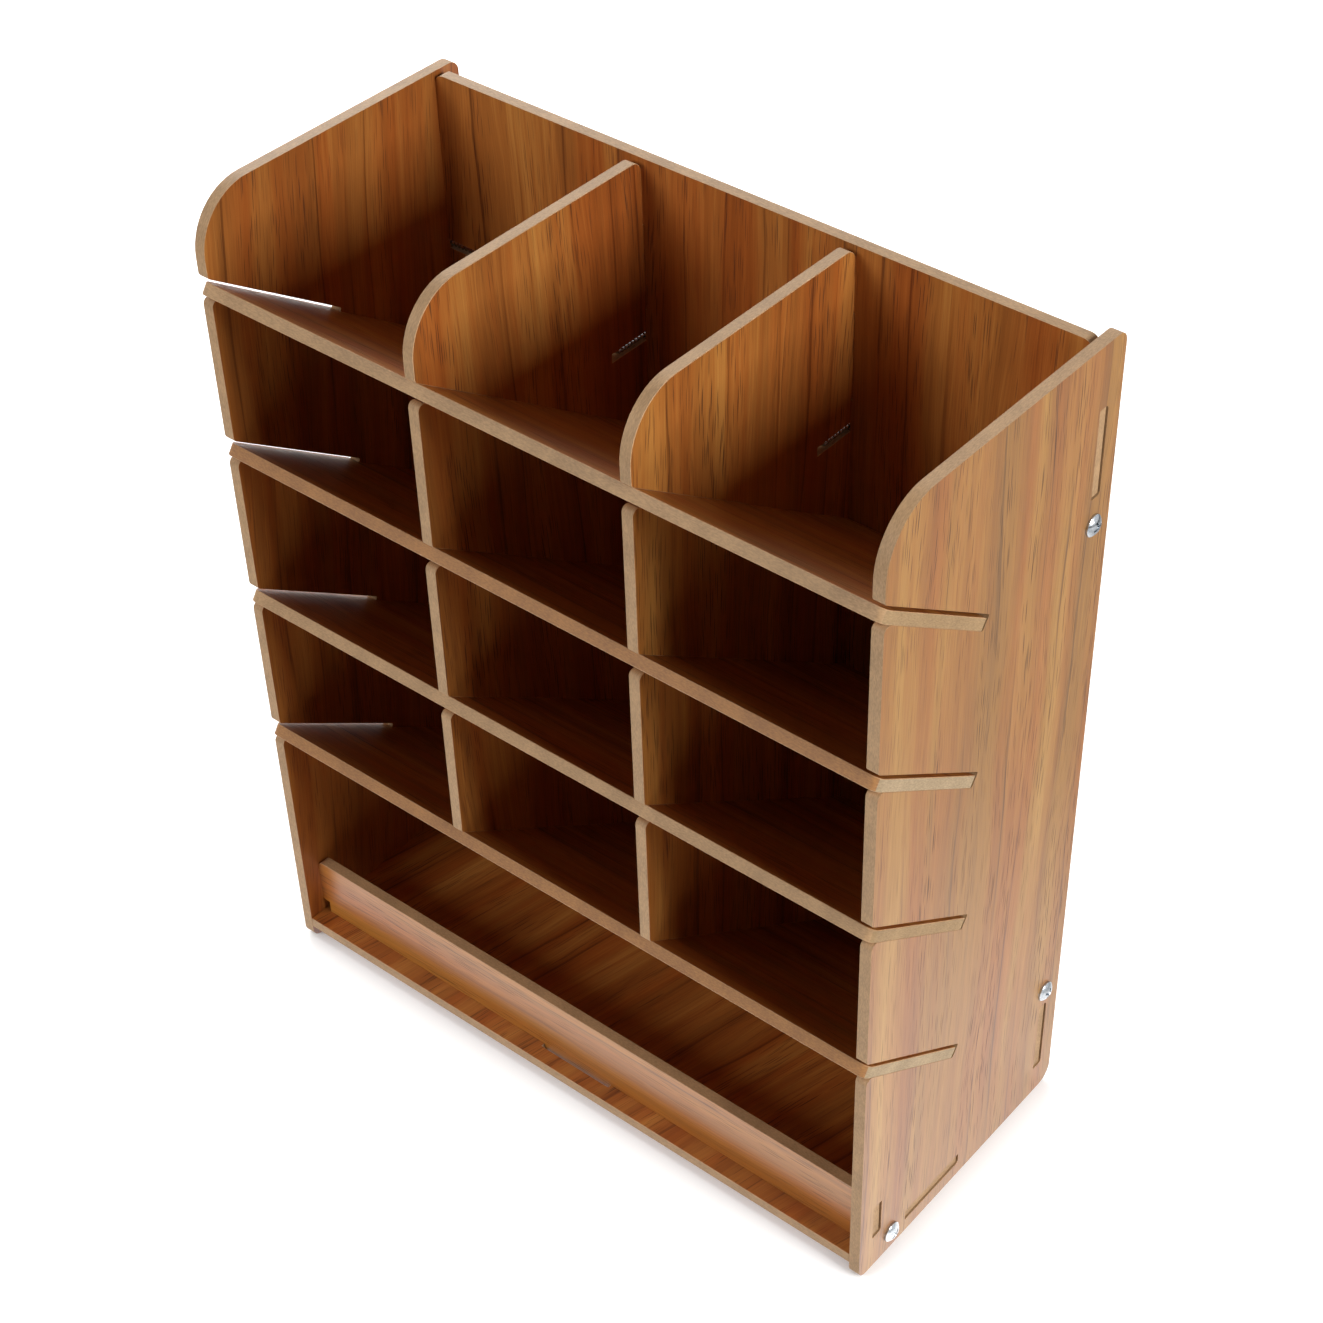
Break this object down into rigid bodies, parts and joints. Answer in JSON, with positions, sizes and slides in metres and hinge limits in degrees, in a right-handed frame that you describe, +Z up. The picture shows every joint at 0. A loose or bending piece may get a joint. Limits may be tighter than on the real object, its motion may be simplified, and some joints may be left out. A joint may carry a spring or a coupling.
{
  "type": "pen holder",
  "caption": "Upright desk organizer of slotted wood-laminate boards: open pen pockets above, slanted pigeonholes in rows below, and an open tray with a low front lip at the foot.",
  "frame": {"origin": "on the surface that it stands on, under the middle of the whole part", "axes": "+Z up, -Y towards the open front, +X to the right as seen from the front"},
  "size_m": [0.2546, 0.1112, 0.305],
  "materials": {
    "laminated_mdf": "satin teak-grain laminate on MDF, bare tan edges",
    "zinc_plated_steel": "bright zinc plating"
  },
  "bodies": {
    "root": {"right_side_panel": "laminated_mdf", "left_side_panel": "laminated_mdf", "left_divider": "laminated_mdf", "right_divider": "laminated_mdf", "top_shelf": "laminated_mdf", "second_shelf": "laminated_mdf", "third_shelf": "laminated_mdf", "lower_shelf": "laminated_mdf", "back_panel": "laminated_mdf", "bottom_board": "laminated_mdf", "front_rail": "laminated_mdf", "right_upper_screw": "zinc_plated_steel", "right_lower_screw": "zinc_plated_steel", "right_front_screw": "zinc_plated_steel", "right_divider_screw": "zinc_plated_steel", "left_upper_screw": "zinc_plated_steel", "left_lower_screw": "zinc_plated_steel", "left_front_screw": "zinc_plated_steel", "left_divider_screw": "zinc_plated_steel"}
  },
  "joints": []
}
